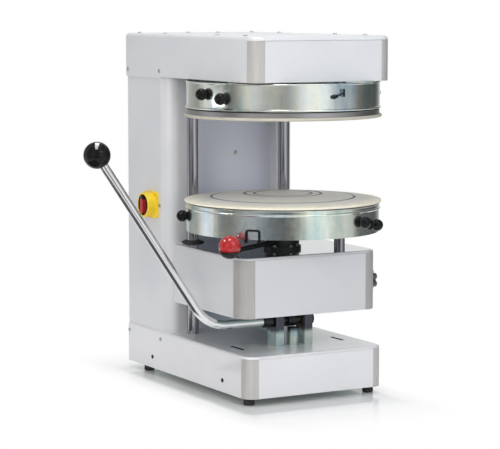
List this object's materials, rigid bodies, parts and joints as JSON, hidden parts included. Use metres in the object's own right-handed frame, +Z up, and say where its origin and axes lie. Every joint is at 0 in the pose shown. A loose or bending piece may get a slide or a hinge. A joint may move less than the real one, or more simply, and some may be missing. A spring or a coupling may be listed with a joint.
{
  "type": "pizza dough spinner",
  "caption": "Bench-top dough spinner: a lever lifts a free-running lower plate on guide rods against a motor-driven upper plate under a sheet-metal head.",
  "frame": {"origin": "middle of the footprint's bounding box, on the surface that the feet stand on", "axes": "+X to the machine's right, +Y to the back, +Z up; the front panels face -Y"},
  "size_m": [0.6752, 0.6414, 0.7634],
  "materials": {
    "painted_panel": "smooth silver-white paint",
    "corner_profile": "satin anodised",
    "galvanised_steel": "bright zinc plated",
    "plain_steel": "machined",
    "chrome": "polished",
    "plate_aluminium": "turned",
    "pad_cream": "matt food-grade pad",
    "black_plastic": "glossy black",
    "black_steel": "black oxide",
    "red_plastic": "glossy red",
    "yellow_plastic": "smooth yellow",
    "rubber": "matt black",
    "bronze": "sintered",
    "motor_cast": "painted grey"
  },
  "bodies": {
    "frame": {"base_cover": "painted_panel", "base_front_panel": "painted_panel", "column_cheek_left": "painted_panel", "column_cheek_right": "painted_panel", "column_recess_panel": "painted_panel", "column_rear_cover": "painted_panel", "head_cover": "painted_panel", "head_front_panel": "painted_panel", "base_corners": "corner_profile", "head_corners": "corner_profile", "base_tray": "galvanised_steel", "head_floor": "galvanised_steel", "fulcrum_brackets": "galvanised_steel", "upper_pan": "galvanised_steel", "upper_guard_band": "galvanised_steel", "cover_screws": "galvanised_steel", "rod_sockets": "plain_steel", "upper_bearings": "plain_steel", "guide_rods": "chrome", "upper_ring_knobs": "black_plastic", "switch_bezel": "black_plastic", "cable_gland": "black_plastic", "upper_bearing_housing": "black_steel", "switch_body": "yellow_plastic", "feet": "rubber", "drive_belt": "rubber", "fulcrum_bushes": "bronze", "drive_motor": "motor_cast"},
    "carriage": {"carriage_cover": "painted_panel", "carriage_front_panel": "painted_panel", "carriage_corners": "corner_profile", "carriage_floor": "galvanised_steel", "carriage_deck": "galvanised_steel", "bearing_blocks": "plain_steel", "linear_bushes": "plain_steel", "rod_wipers": "rubber", "lift_yoke": "galvanised_steel", "lower_bearing_housing": "black_steel", "lower_bearings": "plain_steel", "hub_bolts": "galvanised_steel", "lower_pan_posts": "chrome", "lower_pan": "galvanised_steel", "lower_guard_band": "galvanised_steel", "lower_ring_knobs": "black_plastic"},
    "lower_plate": {"lower_spindle": "plain_steel", "lower_disc": "plate_aluminium", "lower_pad": "pad_cream"},
    "upper_plate": {"upper_spindle": "plain_steel", "spindle_pulley": "plain_steel", "upper_disc": "plate_aluminium", "upper_pad": "pad_cream"},
    "motor_rotor": {"motor_pulley": "plain_steel"},
    "hand_lever": {"lever_rod": "chrome", "lever_ball": "black_plastic", "lever_hub": "black_steel", "lift_shaft": "plain_steel"},
    "thickness_stop": {"thickness_lever": "black_steel", "thickness_ball": "red_plastic"},
    "clamp_knob": {"side_knob": "black_plastic"},
    "switch_handle": {"switch_knob": "red_plastic"}
  },
  "joints": [
    {"name": "carriage_lift", "type": "slide", "parent": "frame", "child": "carriage", "axis": [0, 0, 1], "range_m": [0, 0.161]},
    {"name": "lever_swing", "type": "hinge", "parent": "frame", "child": "hand_lever", "pos_m": [0.1114, -0.1378, 0.157], "axis": [1, 0, 0], "range_deg": [0, 66]},
    {"name": "upper_plate_spin", "type": "hinge", "parent": "frame", "child": "upper_plate", "pos_m": [0.1114, -0.1058, 0.6], "axis": [0, 0, 1], "continuous": true},
    {"name": "motor_spin", "type": "hinge", "parent": "frame", "child": "motor_rotor", "pos_m": [0.1114, 0.25517, 0.7], "axis": [0, 0, 1], "continuous": true},
    {"name": "lower_plate_spin", "type": "hinge", "parent": "carriage", "child": "lower_plate", "pos_m": [0.1114, -0.1058, 0.4], "axis": [0, 0, 1], "continuous": true},
    {"name": "thickness_turn", "type": "hinge", "parent": "carriage", "child": "thickness_stop", "pos_m": [0.1114, -0.1058, 0.326], "axis": [0, 0, 1], "range_deg": [-12, 40]},
    {"name": "clamp_knob_turn", "type": "hinge", "parent": "carriage", "child": "clamp_knob", "pos_m": [0.2874, -0.1558, 0.233], "axis": [1, 0, 0], "range_deg": [-180, 180]},
    {"name": "switch_turn", "type": "hinge", "parent": "frame", "child": "switch_handle", "pos_m": [-0.0756, 0.18717, 0.3835], "axis": [1, 0, 0], "range_deg": [0, 90]}
  ],
  "couplings": [
    {"joint": "lever_swing", "follows": "carriage_lift", "rad_per_m": 7.1548},
    {"joint": "motor_spin", "follows": "upper_plate_spin", "ratio": 2.5}
  ]
}
